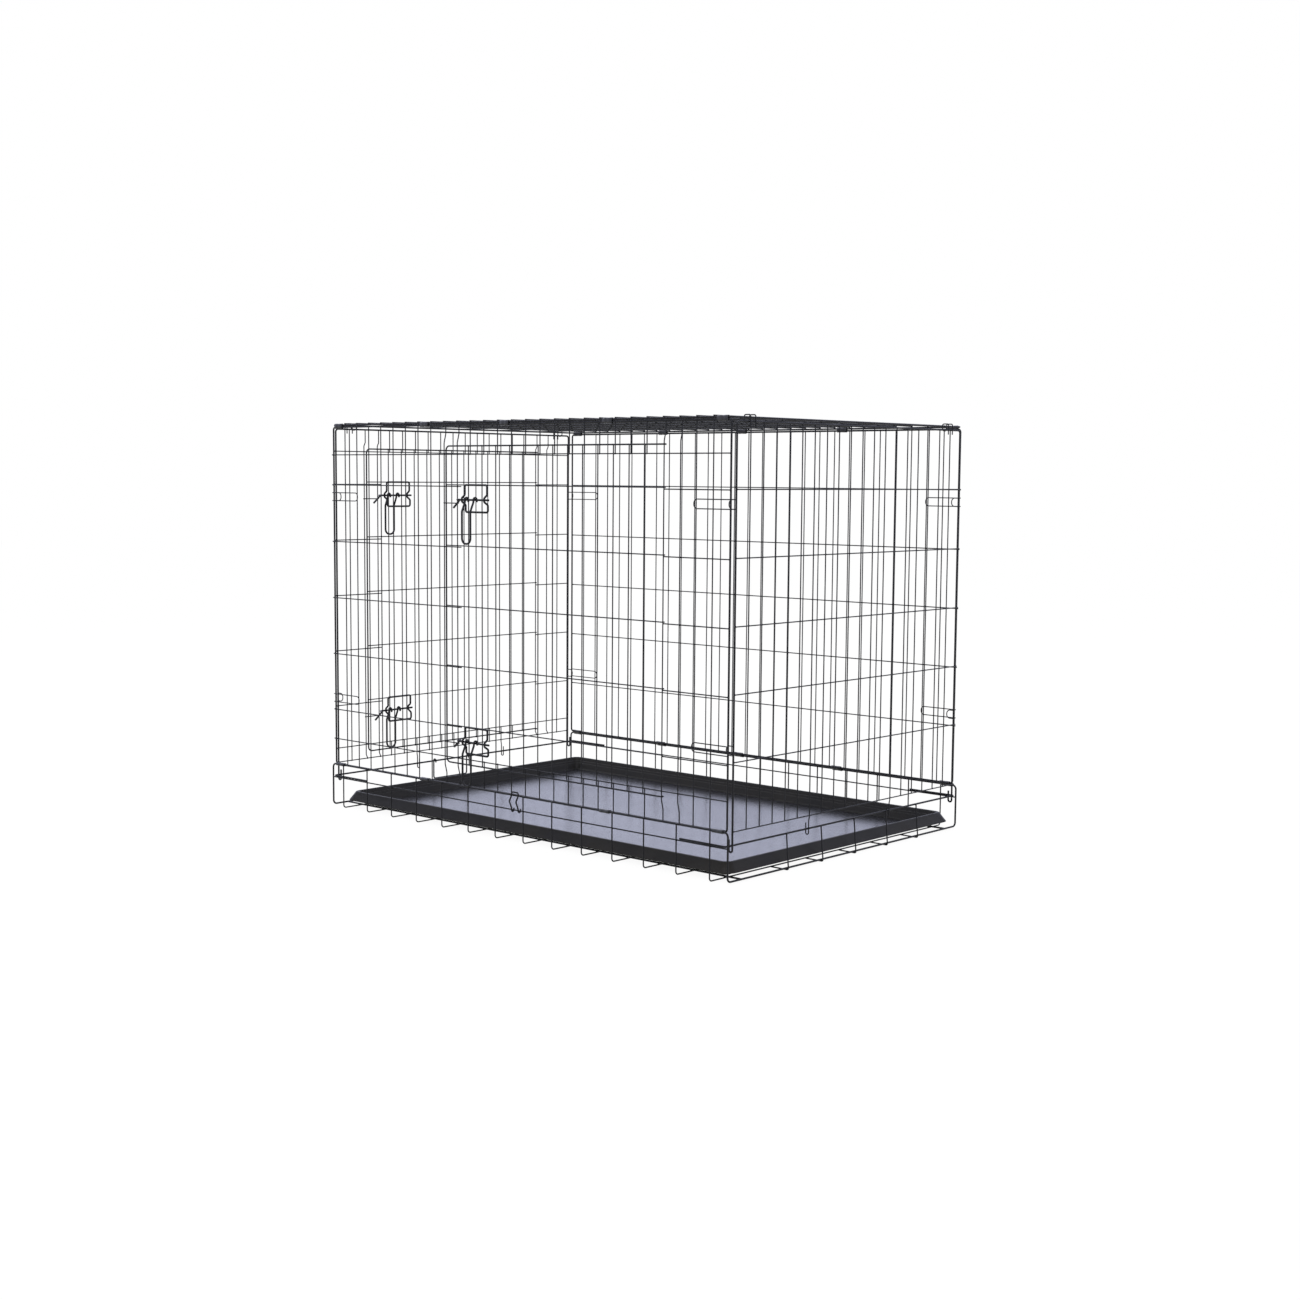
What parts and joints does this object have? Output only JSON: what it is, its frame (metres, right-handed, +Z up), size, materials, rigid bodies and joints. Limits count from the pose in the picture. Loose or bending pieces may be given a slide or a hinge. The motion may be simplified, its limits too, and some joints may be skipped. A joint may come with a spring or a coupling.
{
  "type": "folding wire pet crate",
  "caption": "Folding welded-wire pet crate with a front door and an end door, hook-and-clip folding panels and a slide-out tray.",
  "frame": {"origin": "on the floor, under the middle of the base", "axes": "+X along the crate to its plain end, +Y from the front door side to the back, +Z up"},
  "size_m": [1.1177, 0.7431, 0.8069],
  "materials": {
    "coated_wire": "black powder coat, semi-gloss",
    "clip_sheet": "black coated sheet metal",
    "tray_plastic": "black moulded plastic with a fine texture"
  },
  "bodies": {
    "base": {"base_frame_wire": "coated_wire", "base_floor_wires": "coated_wire", "base_side_wires": "coated_wire", "base_floor_rails": "coated_wire", "left_end_rail": "coated_wire", "right_end_rail": "coated_wire", "right_end_posts": "coated_wire", "front_base_clips": "clip_sheet", "back_base_clips": "clip_sheet"},
    "front_panel": {"front_frame": "coated_wire", "front_uprights": "coated_wire", "front_doorway_stubs": "coated_wire", "front_doorway_posts": "coated_wire", "front_cross_wires": "coated_wire", "front_strikes": "coated_wire", "front_spring_loops": "coated_wire"},
    "front_door": {"front_door_frame": "coated_wire", "front_door_uprights": "coated_wire", "front_door_cross_wires": "coated_wire", "front_door_brackets": "coated_wire"},
    "left_panel": {"left_frame": "coated_wire", "left_uprights": "coated_wire", "left_doorway_stubs": "coated_wire", "left_doorway_posts": "coated_wire", "left_cross_wires": "coated_wire", "left_strikes": "coated_wire", "left_hook_wires": "coated_wire", "left_corner_hooks": "coated_wire", "left_top_hooks": "coated_wire"},
    "left_door": {"left_door_frame": "coated_wire", "left_door_uprights": "coated_wire", "left_door_cross_wires": "coated_wire", "left_door_brackets": "coated_wire"},
    "right_panel": {"right_frame": "coated_wire", "right_uprights": "coated_wire", "right_cross_wires": "coated_wire", "right_hook_wires": "coated_wire", "right_corner_hooks": "coated_wire", "right_top_hooks": "coated_wire"},
    "back_panel": {"back_frame": "coated_wire", "back_uprights": "coated_wire", "back_cross_wires": "coated_wire", "back_spring_loops": "coated_wire"},
    "top_panel": {"top_frame": "coated_wire", "top_short_wires": "coated_wire", "top_long_wires": "coated_wire", "front_top_clips": "clip_sheet", "back_top_clips": "clip_sheet"},
    "tray": {"tray": "tray_plastic"},
    "pan_stop": {"pan_stop": "coated_wire"},
    "fold_clasp": {"fold_clasp": "coated_wire"},
    "front_upper_bolt": {"front_upper_bolt": "coated_wire"},
    "front_upper_handle": {"front_upper_handle": "coated_wire"},
    "front_lower_bolt": {"front_lower_bolt": "coated_wire"},
    "front_lower_handle": {"front_lower_handle": "coated_wire"},
    "left_upper_bolt": {"left_upper_bolt": "coated_wire"},
    "left_upper_handle": {"left_upper_handle": "coated_wire"},
    "left_lower_bolt": {"left_lower_bolt": "coated_wire"},
    "left_lower_handle": {"left_lower_handle": "coated_wire"}
  },
  "joints": [
    {"name": "side_fold", "type": "hinge", "parent": "base", "child": "front_panel", "pos_m": [0, -0.353, 0.091], "axis": [-1, 0, 0], "range_deg": [0, 86]},
    {"name": "back_fold", "type": "hinge", "parent": "base", "child": "back_panel", "pos_m": [0, 0.353, 0.091], "axis": [-1, 0, 0], "range_deg": [0, 86]},
    {"name": "top_level", "type": "hinge", "parent": "front_panel", "child": "top_panel", "pos_m": [0, -0.353, 0.797], "axis": [-1, 0, 0], "range_deg": [-86, 0]},
    {"name": "right_fold", "type": "hinge", "parent": "base", "child": "right_panel", "pos_m": [0.538, 0, 0.066], "axis": [0, 1, 0], "range_deg": [-89, 0]},
    {"name": "left_fold", "type": "hinge", "parent": "base", "child": "left_panel", "pos_m": [-0.538, 0, 0.066], "axis": [0, -1, 0], "range_deg": [-86, 0]},
    {"name": "front_door_swing", "type": "hinge", "parent": "front_panel", "child": "front_door", "pos_m": [0.38982, -0.35814, 0.448], "axis": [0, 0, -1], "range_deg": [-165, 0]},
    {"name": "left_door_swing", "type": "hinge", "parent": "left_panel", "child": "left_door", "pos_m": [-0.54704, 0.24137, 0.436], "axis": [0, 0, -1], "range_deg": [0, 165]},
    {"name": "tray_slide", "type": "slide", "parent": "base", "child": "tray", "axis": [1, 0, 0], "range_m": [-0.7, 0]},
    {"name": "pan_stop_lift", "type": "hinge", "parent": "base", "child": "pan_stop", "pos_m": [-0.538, -0.03, 0.066], "axis": [0, -1, 0], "range_deg": [-95, 0]},
    {"name": "clasp_turn", "type": "hinge", "parent": "base", "child": "fold_clasp", "pos_m": [0.017, -0.35775, 0.06288], "axis": [1, 0, 0], "range_deg": [0, 150]},
    {"name": "front_upper_slide", "type": "slide", "parent": "front_door", "child": "front_upper_bolt", "axis": [1, 0, 0], "range_m": [0, 0.022]},
    {"name": "front_upper_lift", "type": "hinge", "parent": "front_upper_bolt", "child": "front_upper_handle", "pos_m": [-0.09891, -0.36714, 0.6525], "axis": [-1, 0, 0], "range_deg": [0, 100]},
    {"name": "left_upper_slide", "type": "slide", "parent": "left_door", "child": "left_upper_bolt", "axis": [0, 1, 0], "range_m": [0, 0.019]},
    {"name": "left_upper_lift", "type": "hinge", "parent": "left_upper_bolt", "child": "left_upper_handle", "pos_m": [-0.55604, -0.17858, 0.6555], "axis": [0, 1, 0], "range_deg": [0, 100]},
    {"name": "front_lower_slide", "type": "slide", "parent": "front_door", "child": "front_lower_bolt", "axis": [1, 0, 0], "range_m": [0, 0.022]},
    {"name": "front_lower_lift", "type": "hinge", "parent": "front_lower_bolt", "child": "front_lower_handle", "pos_m": [-0.09891, -0.36714, 0.1817], "axis": [-1, 0, 0], "range_deg": [0, 100]},
    {"name": "left_lower_slide", "type": "slide", "parent": "left_door", "child": "left_lower_bolt", "axis": [0, 1, 0], "range_m": [0, 0.019]},
    {"name": "left_lower_lift", "type": "hinge", "parent": "left_lower_bolt", "child": "left_lower_handle", "pos_m": [-0.55604, -0.17858, 0.1885], "axis": [0, 1, 0], "range_deg": [0, 100]}
  ],
  "couplings": [
    {"joint": "back_fold", "follows": "side_fold", "ratio": 1},
    {"joint": "top_level", "follows": "side_fold", "ratio": -1}
  ]
}
